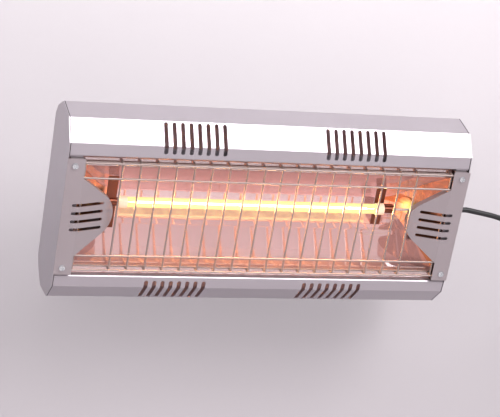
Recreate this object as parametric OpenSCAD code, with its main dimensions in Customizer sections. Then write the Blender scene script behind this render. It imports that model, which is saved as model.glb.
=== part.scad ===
// Wall-mounted electric bar heater: one quartz lamp in a mirror-finished trough, behind a wire guard, in a
// faceted sheet-metal case that tilts on a wall bracket.
// Units are millimetres. The case is drawn in its own frame (front lips on y = 0, height along z, centred)
// and in_case() hangs it on the pivot. The part's origin is on the wall, midway between the bracket's holes.

/* [Case] */
// Length of the case over its end caps
case_l = 440; // [360:1:640]
// Clear height of the open front between the two lips
mouth_h = 134.4; // [120:0.2:160]
// Height of each front facet
brow_h = 13.8; // [12:0.2:20]
// How far each front facet leans back over its height
brow_lean = 1.2; // [0:0.1:3]
// Depth of each sloping facet
bevel_d = 18.2; // [14:0.2:26]
// Height of each sloping facet
bevel_h = 21.1; // [16:0.1:28]
// Depth of the nearly level facet behind it
crown_d = 30.7; // [20:0.1:50]
// Rise of that facet towards the back
crown_h = 4; // [0:0.5:8]
// Depth of the rear shoulder facet
shoulder_d = 21.6; // [12:0.1:30]
// Drop of the rear shoulder facet
shoulder_h = 13.6; // [8:0.1:20]
// Depth of the last small facet before the flat back
heel_d = 6.3; // [4:0.1:12]
// Drop of that facet
heel_h = 10.5; // [6:0.1:16]
// Thickness of the case's steel sheet
sheet_t = 1.2; // [0.8:0.1:2]
// Outer radius of the bends in the sheet
bend_r = 2; // [1:0.1:3]
// How far each front lip turns back into the case
lip_d = 8.2; // [7.8:0.1:14]
// How far the lip's hidden edge turns away from the mouth
lip_turn = 9; // [6:0.5:12]
// Width of the end caps' inner flange
cap_flange = 14; // [12:0.5:20]
// Clearance between an end cap's flange and the shells
cap_fit = 0.15; // [0.1:0.05:0.4]

/* [Vents] */
// Number of vents in each group
vent_count = 8; // [4:1:10]
// Spacing of the vents
vent_pitch = 9; // [7:0.5:12]
// Width of a vent
vent_w = 4.3; // [3:0.1:5]
// Distance of each group's middle from the case's middle
vent_group_x = 88; // [70:1:110]
// Plain sheet left between a vent and the lip
vent_low = 5.4; // [3:0.2:7]
// Plain sheet left between a vent and the upper bend
vent_high = 1.8; // [1.4:0.1:5]

/* [Front plates] */
// Width of a plate's straight side
plate_w = 18.4; // [17:0.1:26]
// Gap between a plate's top or bottom edge and the lip
plate_gap = 1.9; // [1:0.1:3]
// Thickness of a plate
plate_t = 1; // [0.8:0.1:1.5]
// How far the plate's face stands in front of the lips
plate_proud = 2.6; // [2.6:0.1:4]
// How deep a plate's top and bottom edges turn back
plate_turn = 8; // [4:0.5:9]
// Half height of the nose where it leaves the plate's straight side
nose_h = 44; // [36:0.5:48]
// Reach of the nose towards the middle of the heater
nose_reach = 39.9; // [34:0.1:50]
// Radius of the nose's tip
nose_r = 27; // [20:0.5:32]
// Angle at which the nose leans back, in degrees
nose_lean = 17; // [10:0.5:20]
// Depth of the nose's turned edge
nose_turn = 6.5; // [3:0.5:7]
// Number of slots in a plate
slot_count = 4; // [2:1:5]
// Spacing of the slots
slot_pitch = 9.2; // [7:0.1:11]
// Width of a slot
slot_w = 3.6; // [2.5:0.1:5]
// Length of a slot on the straight side of the bend
slot_out = 8.3; // [4:0.1:12]
// Length of a slot on the nose
slot_in = 28; // [16:0.5:32]

/* [Guard] */
// Diameter of the guard's wires
wire_d = 2.1; // [1.5:0.1:2.5]
// Number of evenly spaced upright wires
wire_count = 18; // [10:2:24]
// Spacing of the upright wires
wire_pitch = 19.05; // [12:0.05:20]
// Half height of the outer pair of front rods
rod_outer_z = 60.5; // [54:0.5:61]
// Half height of the inner pair of front rods
rod_inner_z = 43.9; // [30:0.1:46]
// How deeply crossing wires are welded into each other
weld = 0.1; // [0.05:0.05:0.3]

/* [Reflector] */
// Half height of the trough at its front edge
trough_mouth = 53.5; // [46:0.5:56]
// Depth of the trough's flat back behind the front lips
trough_depth = 59.6; // [54:0.1:62]
// Half height of the trough's flat back
trough_back = 5.4; // [3:0.1:12]
// Depth from the flat back to the bend between its slopes and the trough's curved sides
knee_in = 17.4; // [12:0.1:22]
// Half height of that bend
trough_knee_z = 26.2; // [18:0.1:32]
// How far the curved side bulges past a straight line
trough_bulge = 2.1; // [0:0.1:4]
// Thickness of the reflector's sheet
mirror_t = 0.8; // [0.5:0.1:1.2]
// How far a cheek's rear edge stays beyond the end of the lit tube
cheek_clear = 13.4; // [8:0.1:16]

/* [Lamp] */
// Distance of the lamp's axis in front of the trough's flat back
lamp_back = 20.6; // [12:0.1:30]
// Sideways offset of the lamp's middle
lamp_x = -2.5; // [-8:0.5:8]
// Distance from each end of the lit tube to the trough's end
lamp_gap = 63.4; // [56:0.1:90]
// Diameter of the quartz tube
tube_d = 11; // [9:0.5:12]
// Wall thickness of the quartz tube
tube_wall = 1.2; // [0.8:0.1:2]
// Diameter of the filament's coil
coil_d = 2.6; // [1.5:0.1:4]
// Diameter of a ceramic cap
cap_d = 12.8; // [12.4:0.1:16]
// Length of a ceramic cap's wide part
cap_l = 8.7; // [8:0.1:14]
// Diameter of a ceramic cap's neck
neck_d = 6.4; // [6:0.2:11]
// Length of a ceramic cap's neck
neck_l = 14.1; // [9:0.1:16]
// Width of a lamp holder's strip
holder_w = 11; // [8:0.5:12]
// Thickness of the lamp holders' sheet
holder_t = 1.2; // [0.8:0.1:2]
// Gap between the left holder's flange and the trough's flat back
holder_clear = 13.2; // [8:0.1:16]
// How much nearer the middle the right holder's strip stands than the left one's
holder_shift = 10.7; // [10:0.1:16]

/* [Wall mount] */
// Angle that the heater faces down when stored, in degrees
rest_tilt = 30; // [0:1:45]
// Distance of the pivot from the wall
pivot_reach = 62; // [55:1:90]
// Distance of the pivot behind the case's flat back
pivot_behind = 27; // [24:1:40]
// Width of the wall bracket over its arms
bracket_w = 110; // [90:1:160]
// Height of the wall plate
bracket_h = 60; // [48:1:90]
// Thickness of the wall bracket
bracket_t = 3; // [2:0.5:5]
// Half height of the arms, and radius of their ends
arm_r = 18; // [12:0.5:20]
// Spacing of the wall holes across
hole_dx = 80; // [60:1:90]
// Spacing of the wall holes up and down
hole_dz = 36; // [24:1:40]
// Diameter of the wall holes
hole_d = 6; // [4:0.5:8]
// Diameter of the pivot bolts
bolt_d = 6; // [5:0.5:8]
// Running clearance round a pivot bolt
bolt_fit = 0.06; // [0.03:0.01:0.08]
// Gap between faces that move past each other
side_gap = 0.3; // [0.2:0.1:0.5]
// Thickness of the yoke that the case hangs on
yoke_t = 2; // [1.5:0.5:3]
// Radius of the yoke's ears
ear_r = 12; // [9:0.5:14]
// Radius of a tilt knob over its lobes
knob_r = 14; // [11:0.5:16]
// Length of a tilt knob
knob_l = 17; // [12:0.5:24]

/* [Cord] */
// Diameter of the mains lead
cord_d = 6; // [5:0.5:6]
// Depth of the cord's outlet behind the front lips
gland_y = 43; // [36:1:56]
// Length of the tapered strain relief
relief_l = 20; // [20:1:40]

/* [Hidden] */

case_grey = [0.72, 0.70, 0.73];
plate_grey = [0.69, 0.65, 0.66];
mirror_tone = [0.90, 0.78, 0.76];
wire_tone = [0.80, 0.79, 0.80];
zinc = [0.70, 0.71, 0.72];
ivory = [0.93, 0.89, 0.80];
black = [0.08, 0.08, 0.09];
heated_steel = [0.55, 0.38, 0.30];

// ---- Sections: points are [depth, height], read from the front lip round to the flat back ----
mouth = mouth_h / 2;
lip_pt = [0, mouth];
brow_pt = lip_pt + [brow_lean, brow_h];
bevel_pt = brow_pt + [bevel_d, bevel_h];
crown_pt = bevel_pt + [crown_d, crown_h];
shoulder_pt = crown_pt + [shoulder_d, -shoulder_h];
heel_pt = shoulder_pt + [heel_d, -heel_h];
case_back = heel_pt[0];
panel_front = case_back - sheet_t;
// The shells' skin stops on the heel facet, where the back panel laps over it.
skin_end = heel_pt + (shoulder_pt - heel_pt) * (sheet_t / heel_d);
skin = [lip_pt, brow_pt, bevel_pt, crown_pt, shoulder_pt, skin_end];
outline = concat(
  [lip_pt, brow_pt, bevel_pt, crown_pt, shoulder_pt, heel_pt],
  [for (p = [heel_pt, shoulder_pt, crown_pt, bevel_pt, brow_pt, lip_pt]) [p[0], -p[1]]]
);
case_half = case_l / 2;
skin_half = case_half - sheet_t;
flange_half = skin_half - cap_flange - 1;

function unit(v) = v / norm(v);
function left_of(v) = [-v[1], v[0]];
// The point beside a path's corner, at a distance to its left, on the mitre
function mitre(path, i, dist) =
  let (
    last = len(path) - 1,
    a = left_of(unit(path[max(i, 1)] - path[max(i, 1) - 1])),
    b = left_of(unit(path[min(i, last - 1) + 1] - path[min(i, last - 1)]))
  ) path[i] + dist * (a + b) / (1 + a * b);
// Outline of a bent sheet that lies to the left of its path, or to the right where t is negative
function bent(path, t) = concat(path, [for (i = [len(path) - 1:-1:0]) mitre(path, i, t)]);
// A path with its corners rounded off, each by three short chords
function eased(path, r) = [
  for (i = [0:len(path) - 1])
    if (i == 0 || i == len(path) - 1) path[i]
    else
      let (
        a = unit(path[i - 1] - path[i]),
        b = unit(path[i + 1] - path[i]),
        cut = r * sqrt((1 + a * b) / (1 - a * b))
      ) for (s = [0:1 / 3:1])
        path[i] + a * cut * pow(1 - s, 2) + b * cut * pow(s, 2)
];
// A closed outline, listed clockwise, drawn in by a distance
function inset(pts, dist) =
  let (n = len(pts)) [
    for (i = [0:n - 1])
      let (
        a = -left_of(unit(pts[i] - pts[(i + n - 1) % n])),
        b = -left_of(unit(pts[(i + 1) % n] - pts[i]))
      ) pts[i] + dist * (a + b) / (1 + a * b)
  ];
function curve(a, c, b, steps) =
  [for (s = [0:1 / steps:1]) a * pow(1 - s, 2) + c * 2 * s * (1 - s) + b * pow(s, 2)];

// Hangs the case frame on the pivot and tilts it.
pivot_y = case_back + pivot_behind;
module in_case() {
  translate([0, -pivot_reach, 0]) rotate([rest_tilt, 0, 0]) translate([0, -pivot_y, 0]) children();
}
// Turns a [depth, height] section into a bar along x, centred.
module bar(length) {
  translate([-length / 2, 0, 0]) rotate([90, 0, 90]) linear_extrude(length) children();
}
module left_side() mirror([1, 0, 0]) children();
module both_ends() {
  children();
  left_side() children();
}
module lower_half() mirror([0, 0, 1]) children();
// A round rod along x or y between two values
module x_rod(x0, x1, y, z, r)
  translate([x0, y, z]) rotate([0, 90, 0]) cylinder(r = r, h = x1 - x0, $fn = 32);
module y_rod(x, y0, y1, z, r)
  translate([x, y0, z]) rotate([-90, 0, 0]) cylinder(r = r, h = y1 - y0, $fn = 32);
// A round wire through a list of points, with ball joints at its corners
module wire(points, r) {
  for (i = [0:len(points) - 2]) {
    step = points[i + 1] - points[i];
    translate(points[i])
      rotate([0, acos(step[2] / norm(step)), atan2(step[1], step[0])])
        cylinder(r = r, h = norm(step), $fn = 24);
    if (i > 0) translate(points[i]) sphere(r = r, $fn = 24);
  }
}

// ---- Case ----
vent_r = vent_w / 2;
bevel_l = norm([bevel_d, bevel_h]);
module vent_cutter(x) {
  deep = 8;
  low_z = mouth + vent_low + vent_r;
  start_y = brow_lean / 2 - deep / 2;
  // across the front facet
  y_rod(x, start_y, start_y + deep, low_z, vent_r);
  translate([x - vent_r, start_y, low_z]) cube([vent_w, deep, brow_pt[1] - low_z + 0.5]);
  // up the sloping facet
  translate([x, brow_pt[0], brow_pt[1]]) rotate([-atan2(bevel_d, bevel_h), 0, 0]) {
    run = bevel_l - vent_high - vent_r;
    translate([-vent_r, -deep / 2, -0.5]) cube([vent_w, deep, run + 0.5]);
    translate([0, -deep / 2, run]) rotate([-90, 0, 0]) cylinder(r = vent_r, h = deep, $fn = 32);
  }
}
// The shell's rear edge turns down by this much behind the back panel.
rear_edge = 14;
sheet_path = concat(
  [[lip_d, mouth + lip_turn], [lip_d, mouth]],
  skin,
  [skin_end - [0, rear_edge]]
);
module shell() difference() {
  bar(2 * skin_half) polygon(bent(eased(sheet_path, bend_r), -sheet_t));
  // the hidden edges stop short of the end caps' flanges
  both_ends() translate([flange_half, 0, 0]) rotate([90, 0, 90]) linear_extrude(case_half)
    polygon(inset(outline, sheet_t + cap_fit / 3));
  for (side = [-1, 1], i = [0:vent_count - 1])
    vent_cutter(side * vent_group_x + (i - (vent_count - 1) / 2) * vent_pitch);
  for (side = [-1, 1], x = rivet_xs)
    y_rod(side * x, lip_d - 2 * sheet_t, lip_d + 1, rivet_z, rivet_r + bore_fit);
  for (side = [-1, 0, 1])
    y_rod(side * back_screw_x, panel_front - 2 * sheet_t, case_back, back_screw_z, screw_r + thread_fit);
}
module top_shell() color(case_grey) in_case() shell();
module bottom_shell() color(case_grey) in_case() lower_half() shell();

back_screw_x = case_half - 30;
back_screw_z = heel_pt[1] - 7;
module back_panel() color(case_grey) in_case() difference() {
  translate([-skin_half + 0.2, panel_front, -heel_pt[1]])
    cube([2 * skin_half - 0.4, sheet_t, 2 * heel_pt[1]]);
  for (side = [-1, 0, 1], up = [-1, 1])
    y_rod(side * back_screw_x, panel_front - 1, case_back + 1, up * back_screw_z, screw_r + bore_fit);
  for (side = [-1, 1], up = [-1, 1])
    y_rod(side * yoke_screw_x, panel_front - 1, case_back + 1, up * yoke_screw_z, yoke_screw_r + thread_fit);
  y_rod(earth_x, panel_front - 1, case_back + 1, earth_z, screw_r + bore_fit);
}

screw_r = 1.5;
screw_head_r = 3.5;
// Clearance on the radius of a plain hole, and of a hole that a thread bites into
bore_fit = 0.1;
thread_fit = 0.05;
module back_screws() color(zinc) in_case()
  for (side = [-1, 0, 1], up = [-1, 1])
    translate([side * back_screw_x, case_back, up * back_screw_z])
      rotate([-90, 0, 0]) pan_screw(screw_head_r, 2, screw_r, 8);

// A pan-head screw with a cross recess: its head stands on z = 0 and its shank runs down.
module pan_screw(head_r, head_h, shank_r, length) {
  difference() {
    rotate_extrude($fn = 32)
      polygon([[0, -length], [shank_r, -length], [shank_r, 0], [head_r, 0], [head_r, head_h * 0.45],
        [head_r * 0.86, head_h * 0.8], [head_r * 0.55, head_h], [0, head_h]]);
    for (turn = [0, 90])
      rotate([0, 0, turn]) translate([-head_r * 0.58, -head_r * 0.11, head_h * 0.4])
        cube([head_r * 1.16, head_r * 0.22, head_h]);
  }
}

// End cap: a flat plate with a flange all round that fits inside the shells.
module end_cap(outlet) difference() {
  union() {
    translate([skin_half, 0, 0]) rotate([90, 0, 90]) linear_extrude(sheet_t) polygon(outline);
    translate([skin_half - cap_flange, 0, 0]) rotate([90, 0, 90]) linear_extrude(cap_flange)
      difference() {
        polygon(inset(outline, sheet_t + cap_fit));
        polygon(inset(outline, 2 * sheet_t + cap_fit));
      }
  }
  // clear of the plates' turned edges
  for (up = [-1, 1])
    translate([skin_half - cap_flange - 1, -1, up * (mouth - plate_gap - plate_t / 2) - 1.4])
      cube([cap_flange + 1, plate_turn + 1.5, 2.8]);
  for (up = [-1, 1]) y_rod(plate_screw_x, 0, 4, up * plate_screw_z, screw_r + thread_fit);
  if (outlet) x_rod(skin_half - 1, case_half + 1, gland_y, 0, neck_r + bore_fit);
}
module end_cap_left() color(case_grey) in_case() left_side() end_cap(false);
module end_cap_right() color(case_grey) in_case() end_cap(true);

// ---- Front plates ----
plate_out = case_half + 0.4;
bend_x = plate_out - plate_w;
plate_z = mouth - plate_gap;
plate_y = -plate_proud;
plate_screw_x = case_half - 7.9;
plate_screw_z = plate_z - 7.8;
// How far the turned edges lie inside the plate's rim
edge_set = 0.05;
// The nose's outline in its own plane: sloping sides that run into a round tip
nose_c = nose_reach - nose_r;
tip_angle = 90 + atan2(nose_c, nose_h) - acos(nose_r / norm([nose_c, nose_h]));
nose_tip = [for (a = [1:-1 / 6:-1.01]) [nose_c + nose_r * cos(a * tip_angle), nose_r * sin(a * tip_angle)]];
nose_shape = concat([[0, nose_h]], nose_tip, [[0, -nose_h]]);
// From the nose's own plane to the front view, and to the plan view
function front_view(pts) = [for (p = pts) [bend_x - p[0] * cos(nose_lean), p[1]]];
nose_far = [bend_x, plate_y] + 1.1 * nose_reach * [-cos(nose_lean), sin(nose_lean)];
module plan() translate([0, 0, -mouth]) linear_extrude(2 * mouth) children();
module from_front() rotate([90, 0, 0]) translate([0, 0, -20]) linear_extrude(40) children();
module on_nose()
  translate([bend_x, plate_y, 0]) rotate([0, 0, 180 - nose_lean]) rotate([90, 0, 0]) children();
// A slot's middle line in plan. It stops just short of the round ends' middles.
slot_end = slot_w / 2 + 0.2;
slot_path = [
  [bend_x + slot_out - slot_end, plate_y],
  [bend_x, plate_y],
  [bend_x, plate_y] + (slot_in - slot_end) * [-cos(nose_lean), sin(nose_lean)]
];
module plate_slots()
  for (i = [0:slot_count - 1]) {
    z = (i - (slot_count - 1) / 2) * slot_pitch;
    y_rod(bend_x + slot_out - slot_w / 2, plate_y - 2, plate_y + 3, z, slot_w / 2);
    translate([0, 0, z - slot_w / 2]) linear_extrude(slot_w)
      polygon(bent([for (k = [0:2]) mitre(slot_path, k, 2)], -5));
    on_nose() translate([slot_in - slot_w / 2, z, -2])
      cylinder(r = slot_w / 2, h = 5, $fn = 32);
  }
module front_plate() difference() {
  union() {
    intersection() {
      plan() polygon(bent([[plate_out, plate_y], [bend_x, plate_y], nose_far], -plate_t));
      from_front() polygon(concat(
        [[plate_out + 2, plate_z], [plate_out + 2, -plate_z], [bend_x, -plate_z]],
        front_view([for (i = [len(nose_shape) - 1:-1:0]) nose_shape[i]]),
        [[bend_x, plate_z]]
      ));
    }
    // turned edge of the nose
    intersection() {
      plan() polygon(bent([
        [bend_x - 4, plate_y + 4 * tan(nose_lean) + plate_t / 2],
        nose_far + [0, plate_t / 2]
      ], -nose_turn));
      from_front() difference() {
        polygon(front_view(inset(nose_shape, edge_set)));
        polygon(front_view(inset(nose_shape, edge_set + plate_t)));
      }
    }
    // turned top and bottom edges
    for (up = [-1, 1])
      translate([bend_x + 1.5, plate_y + plate_t / 2, up * (plate_z - edge_set - plate_t / 2) - plate_t / 2])
        cube([plate_w - 5, plate_turn - plate_t / 2, plate_t]);
  }
  plate_slots();
  for (up = [-1, 1])
    y_rod(plate_screw_x, plate_y - 1, plate_y + 3, up * plate_screw_z, screw_r + bore_fit);
}
module front_plate_left() color(plate_grey) in_case() left_side() front_plate();
module front_plate_right() color(plate_grey) in_case() front_plate();
module plate_screws() color(zinc) in_case() both_ends()
  for (up = [-1, 1])
    translate([plate_screw_x, plate_y, up * plate_screw_z])
      rotate([90, 0, 0]) pan_screw(screw_head_r, 2.1, screw_r, 6.5);

// ---- Guard ----
wire_r = wire_d / 2;
rod_y = plate_y + plate_t + wire_r + 0.1;
upright_y = rod_y + wire_d - weld;
leg_z = rod_outer_z + wire_r - 0.6;
rear_rod_y = lip_d - wire_r - 0.1;
rear_rod_z = leg_z - wire_d + weld;
end_wire_x = bend_x - 1.2;
module upright(x) {
  foot = lip_d - 0.2;
  wire([[x, foot, -leg_z], [x, upright_y, -leg_z], [x, upright_y, leg_z], [x, foot, leg_z]], wire_r);
}
module wire_guard() color(wire_tone) in_case() {
  for (i = [0:wire_count - 1]) upright((i - (wire_count - 1) / 2) * wire_pitch);
  for (side = [-1, 1]) upright(side * end_wire_x);
  for (up = [-1, 1]) {
    x_rod(-plate_screw_x - 2, plate_screw_x + 2, rod_y, up * rod_outer_z, wire_r);
    x_rod(-plate_screw_x - 2, plate_screw_x + 2, rod_y, up * rod_inner_z, wire_r);
    x_rod(-end_wire_x - 1.5, end_wire_x + 1.5, rear_rod_y, up * rear_rod_z, wire_r);
  }
}

// ---- Reflector ----
// The trough's section from its front edge to its back, upper half; the lower half mirrors it.
trough_edge = [lip_d, trough_mouth];
trough_knee = [trough_depth - knee_in, trough_knee_z];
// The bend itself is spread over a short flat, this share of the side's length.
turn_share = 0.05;
trough_turn = trough_knee + (trough_edge - trough_knee) * turn_share;
trough_out = -left_of(unit(trough_edge - trough_turn));
trough_side = curve(
  trough_edge,
  (trough_edge + trough_turn) / 2 + 2 * trough_bulge * trough_out,
  trough_turn,
  7
);
trough_upper = concat(trough_side, [trough_knee, [trough_depth, trough_back]]);
trough_path = concat(
  trough_upper,
  [for (i = [len(trough_upper) - 1:-1:0]) [trough_upper[i][0], -trough_upper[i][1]]]
);
trough_half = bend_x + 1.6;
rivet_xs = [50, case_half - 70];
rivet_z = mouth + lip_turn * 0.55;
rivet_r = 1.6;
flange_top = mouth + lip_turn - 1;
module reflector() color(mirror_tone) in_case() difference() {
  bar(2 * trough_half)
    polygon(bent(concat([[lip_d, flange_top]], trough_path, [[lip_d, -flange_top]]), mirror_t));
  for (side = [-1, 1], x = rivet_xs, up = [-1, 1])
    y_rod(side * x, lip_d - 1, lip_d + mirror_t + 1, up * rivet_z, rivet_r + bore_fit);
}
module reflector_rivets() color(zinc) in_case()
  for (side = [-1, 1], x = rivet_xs, up = [-1, 1]) {
    y_rod(side * x, lip_d - sheet_t, lip_d + mirror_t, up * rivet_z, rivet_r);
    y_rod(side * x, lip_d + mirror_t, lip_d + mirror_t + 1, up * rivet_z, rivet_r * 2);
    y_rod(side * x, lip_d - sheet_t - 0.8, lip_d - sheet_t, up * rivet_z, rivet_r * 1.6);
  }

// Space inside the trough, drawn in by a little so that what stands in it just clears the mirror
module trough_space(length) bar(length) polygon(inset(trough_path, 0.15));
cheek_front = [trough_half - 0.5, lip_d + 0.2];
cheek_l = lamp_gap - cheek_clear;
cheek_rear = [trough_half - cheek_l, trough_depth - 0.3];
cheek_pull = [trough_half - cheek_l * 0.48, trough_depth - 4];
cheek_path = curve(cheek_front, cheek_pull, cheek_rear, 9);
lead_hole_r = 4;
module cheek() difference() {
  intersection() {
    translate([0, 0, -trough_mouth]) linear_extrude(2 * trough_mouth) polygon(bent(cheek_path, -mirror_t));
    trough_space(2 * trough_half);
  }
  x_rod(trough_half - cheek_l - 5, trough_half, lamp_y, 0, lead_hole_r);
}
module reflector_end_left() color(mirror_tone) in_case() left_side() cheek();
module reflector_end_right() color(mirror_tone) in_case() cheek();

// ---- Lamp ----
tube_r = tube_d / 2;
cap_r = cap_d / 2;
cap_neck_r = neck_d / 2;
lamp_y = trough_depth - lamp_back;
tube_end = trough_half - lamp_gap;
cap_out = tube_end + cap_l + neck_l;
// How far the tube's sealed end sits in its cap
seat = 6;
// Thickness of the filament's supports
disc_t = 0.6;
module quartz_tube() color([1, 0.85, 0.45, 0.6]) in_case() translate([lamp_x, 0, 0]) difference() {
  x_rod(-tube_end - seat, tube_end + seat, lamp_y, 0, tube_r);
  x_rod(-tube_end, tube_end, lamp_y, 0, tube_r - tube_wall);
}
module filament() color([1, 0.95, 0.8]) in_case() translate([lamp_x, 0, 0]) {
  x_rod(-tube_end, tube_end, lamp_y, 0, coil_d / 2);
  // thin discs that keep the coil on the tube's axis
  for (i = [-3:3]) {
    x = i * tube_end * 2 / 7;
    x_rod(x - disc_t / 2, x + disc_t / 2, lamp_y, 0, tube_r - tube_wall - 0.1);
  }
}
module lamp_cap() difference() {
  union() {
    x_rod(tube_end, tube_end + cap_l, lamp_y, 0, cap_r);
    x_rod(tube_end, cap_out, lamp_y, 0, cap_neck_r);
  }
  x_rod(tube_end - 1, tube_end + seat + 0.1, lamp_y, 0, tube_r + 0.1);
  x_rod(tube_end, cap_out + 1, lamp_y, 0, lead_r + 0.1);
}
module lamp_cap_left() color(ivory) in_case() translate([lamp_x, 0, 0]) left_side() lamp_cap();
module lamp_cap_right() color(ivory) in_case() translate([lamp_x, 0, 0]) lamp_cap();

// A lamp holder is a steel strip that stands across the trough, with a collar that grips the cap's neck.
collar_r = cap_neck_r + 0.1 + holder_t;
collar_in = tube_end + cap_l + 0.2;
collar_out = cap_out - 0.5;
module holder_strip(x, y, flange)
  intersection() {
    union() {
      translate([x, y, -trough_mouth]) cube([holder_w, holder_t, 2 * trough_mouth]);
      translate([x, y, -trough_mouth]) cube([holder_t, flange, 2 * trough_mouth]);
    }
    trough_space(4 * trough_half);
  }
module lamp_holder() difference() {
  union() {
    children();
    x_rod(collar_in, collar_out, lamp_y, 0, collar_r);
  }
  x_rod(tube_end, cap_out + 1, lamp_y, 0, cap_neck_r + 0.1);
  x_rod(tube_end - 20, collar_in, lamp_y, 0, cap_r + 0.2);
}
// The left strip crosses the neck and has a flange along the side that faces the lamp.
module lamp_holder_left() color(heated_steel) in_case() translate([lamp_x, 0, 0]) left_side() lamp_holder()
  holder_strip(collar_out - holder_w, lamp_y - holder_t / 2, lamp_back + holder_t / 2 - holder_clear);
// The right strip stands behind the cap, and a tongue joins it to its collar.
right_strip_y = lamp_y + cap_r + 0.3;
tongue_h = 6;
module lamp_holder_right() color(heated_steel) in_case() translate([lamp_x, 0, 0]) lamp_holder() {
  holder_strip(collar_out - holder_w - holder_shift, right_strip_y, holder_t);
  translate([collar_out - holder_shift - 1, right_strip_y, -tongue_h / 2])
    cube([holder_shift + 1, holder_t, tongue_h]);
  translate([collar_in, lamp_y, -tongue_h / 2])
    cube([collar_out - collar_in, cap_r + 0.3 + holder_t, tongue_h]);
}

// ---- Wiring ----
lead_r = 1.4;
// Gap left between the end of a wire and what it goes into
seat_gap = 0.3;
behind_y = trough_depth + mirror_t + 2.5;
block_x = trough_half - 75.6;
pole_gap = 12;
pole_x = block_x + pole_gap / 2;
pole_r = 2.6;
block_w = 3 * pole_gap;
block_h = 18;
block_d = 14;
block_z = -34;
block_top = block_z + block_h;
block_y = panel_front - block_d / 2;
lead_z = -7;
lead_exit = trough_half + 1;
// Out through the trough's end, round behind it and along its back, as [x, depth, z]
function lead_start(side) = [
  for (p = [
    [tube_end + seat + 0.5 + side * lamp_x, lamp_y, 0],
    [cap_out + 2 + side * lamp_x, lamp_y, 0],
    [lead_exit - 20, lamp_y, 0],
    [lead_exit, lamp_y + 1, -3],
    [lead_exit + 2.5, lamp_y + 6, -9],
    [lead_exit + 1, behind_y, -10],
    [lead_exit - 6, behind_y + 3, lead_z - 1]
  ]) [side * p[0], p[1], p[2]]
];
function into_block(x, from) = [
  [x + from * 8, behind_y + 3, lead_z],
  [x + from * 2, behind_y + 4, lead_z - 1],
  [x, block_y, lead_z - 4],
  [x, block_y, block_top + seat_gap]
];
right_lead = concat(lead_start(1), into_block(pole_x + 2 * pole_gap, 1));
left_lead = concat(
  lead_start(-1),
  [[-lead_exit / 2, behind_y + 3, lead_z], [0, behind_y + 3, lead_z]],
  into_block(pole_x, -1)
);
module lamp_lead_right() color("white") in_case() tube(smooth(right_lead, 3), lead_r, 8);
module lamp_lead_left() color("white") in_case() tube(smooth(left_lead, 3), lead_r, 8);
block_front = panel_front - block_d;
pole_deep = 5;
module terminal_block() color(ivory) in_case() difference() {
  translate([block_x, block_front, block_z]) cube([block_w, block_d, block_h]);
  for (i = [0:2])
    y_rod(pole_x + pole_gap * i, block_front - 1, block_front + pole_deep, block_z + block_h / 2, pole_r);
}
module terminal_screws() color("gold") in_case()
  for (i = [0:2])
    y_rod(pole_x + pole_gap * i, block_front + 1, block_front + pole_deep, block_z + block_h / 2,
      pole_r - 0.2);
earth_x = block_x - 28;
earth_z = -25;
earth_head_r = 4;
module earth_screw() color(zinc) in_case()
  translate([earth_x, panel_front, earth_z]) rotate([90, 0, 0]) pan_screw(earth_head_r, 2.6, screw_r, 3);
core_r = 1.1;
earth_path = [
  [block_x + block_w / 2, block_y, block_top + seat_gap],
  [block_x + block_w / 2, block_y, block_top + 3],
  [block_x + 12, panel_front - 3.5, block_top + 6],
  [block_x, panel_front - 2.5, block_top + 4],
  [block_x - 14, panel_front - 2, earth_z + 4],
  [earth_x + earth_head_r + core_r + 3, panel_front - core_r - 0.2, earth_z],
  [earth_x + earth_head_r + 0.1, panel_front - core_r - 0.2, earth_z]
];
module earth_lead() color([0.55, 0.75, 0.2]) in_case() tube(smooth(earth_path, 3), core_r, 8);
// The supply's three cores leave the sheath inside the end cap and reach the block from below.
sheath_end = skin_half - 8;
function core_path(i) =
  let (
    lane = (i - 1) * 3,
    x = pole_x + pole_gap * i,
    out_y = gland_y + 1.5 * cos(120 * (i - 1)),
    out_z = 1.5 * sin(120 * (i - 1))
  ) [
    [sheath_end - seat_gap, out_y, out_z],
    [sheath_end - 1.6, out_y, out_z],
    [lead_exit + 2, gland_y + 3, 2 + lane * 1.6],
    [lead_exit + 1.5, behind_y, 8 + lane],
    [lead_exit - 4, behind_y + 7, 8 + lane],
    [block_x + block_w + 22 - lane, block_y, 5 + lane],
    [block_x + block_w + 13 - lane, block_y, -2 + lane],
    [block_x + block_w + 10 - lane, block_y, -12],
    [block_x + block_w + 9 - lane, block_y, block_z],
    [block_x + block_w + 5 - lane, block_y, block_z - 7 + lane],
    [x + 4, block_y, block_z - 8 + lane],
    [x, block_y, block_z - 4 + lane * 0.6],
    [x, block_y, block_z - seat_gap]
  ];
core_tones = [[0.45, 0.25, 0.15], [0.55, 0.75, 0.2], [0.2, 0.35, 0.75]];
module supply_cores() in_case()
  for (i = [0:2]) color(core_tones[i]) tube(smooth(core_path(i), 3), core_r, 8);

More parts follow.
